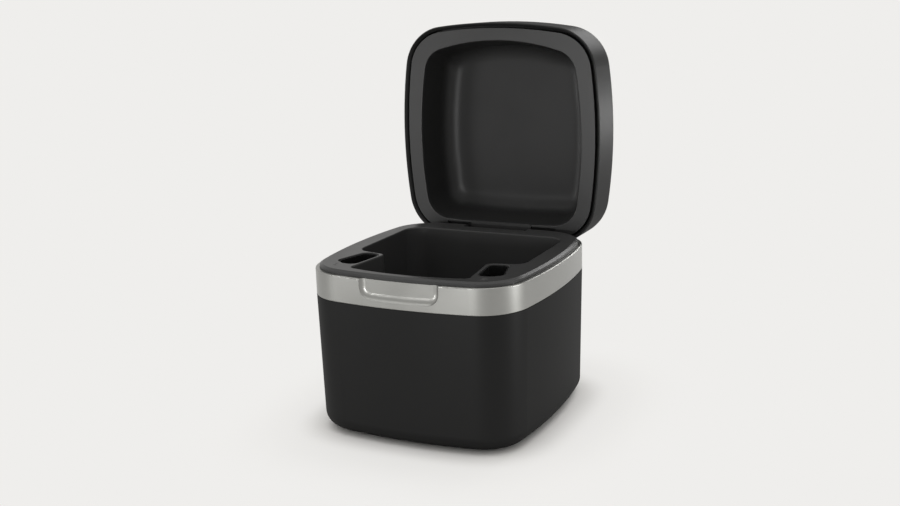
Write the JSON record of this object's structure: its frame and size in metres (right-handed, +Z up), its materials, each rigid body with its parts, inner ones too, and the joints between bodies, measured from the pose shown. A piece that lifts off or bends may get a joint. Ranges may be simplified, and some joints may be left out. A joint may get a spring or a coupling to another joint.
{
  "type": "hearing aid charger",
  "caption": "Desktop charger case with bowed sides, a deep hinged lid, a silver band with a thumb notch, wells for hearing aids and an open storage compartment.",
  "frame": {"origin": "middle of the footprint, on the table", "axes": "+X to the right, +Y to the rear where the hinge is, +Z up; the lid stands open against its stop"},
  "size_m": [0.084, 0.1096, 0.141],
  "materials": {
    "housing_plastic": "fine spark-eroded texture on injection-moulded ABS",
    "lid_plastic": "fine spark-eroded texture on injection-moulded ABS",
    "deck_plastic": "satin injection-moulded ABS",
    "liner_plastic": "satin injection-moulded ABS",
    "hinge_plastic": "satin moulded nylon",
    "silver_paint": "satin silver lacquer sprayed on a moulded band",
    "foot_rubber": "matt moulded elastomer",
    "mark_paint": "pad-printed ink",
    "screw_steel": "zinc-plated machine screws",
    "bracket_steel": "stamped stainless strip",
    "pin_steel": "turned stainless rod",
    "socket_steel": "stamped nickel-plated steel",
    "magnet_nickel": "nickel-plated sintered magnet",
    "coil_copper": "enamelled copper winding",
    "ferrite_ceramic": "pressed ferrite",
    "flex_film": "polyimide film lead",
    "board_laminate": "glass-epoxy laminate with solder resist",
    "component_black": "moulded epoxy packages",
    "connector_plastic": "moulded liquid-crystal polymer",
    "washer_plastic": "machined acetal"
  },
  "bodies": {
    "base": {"base_shell": "housing_plastic", "bottom_plate": "housing_plastic", "base_pad": "foot_rubber", "bottom_screws": "screw_steel", "trim_band": "silver_paint", "deck": "deck_plastic", "right_well_liner": "liner_plastic", "left_well_liner": "liner_plastic", "right_coil": "coil_copper", "left_coil": "coil_copper", "right_ferrite": "ferrite_ceramic", "left_ferrite": "ferrite_ceramic", "right_flex_lead": "flex_film", "left_flex_lead": "flex_film", "side_marks": "mark_paint", "main_board": "board_laminate", "board_screws": "screw_steel", "board_components": "component_black", "flex_connectors": "connector_plastic", "power_socket": "socket_steel", "base_magnets": "magnet_nickel", "hinge_bracket": "bracket_steel", "bracket_screws": "screw_steel", "hinge_pin": "pin_steel", "retaining_ring": "pin_steel", "hinge_washers": "washer_plastic"},
    "lid": {"lid_shell": "lid_plastic", "lid_liner": "deck_plastic", "hinge_block": "hinge_plastic", "block_screws": "screw_steel", "lid_magnets": "magnet_nickel"}
  },
  "joints": [
    {"name": "lid_hinge", "type": "hinge", "parent": "base", "child": "lid", "pos_m": [0, 0.0399, 0.0574], "axis": [1, 0, 0], "range_deg": [0, 90.5]}
  ]
}
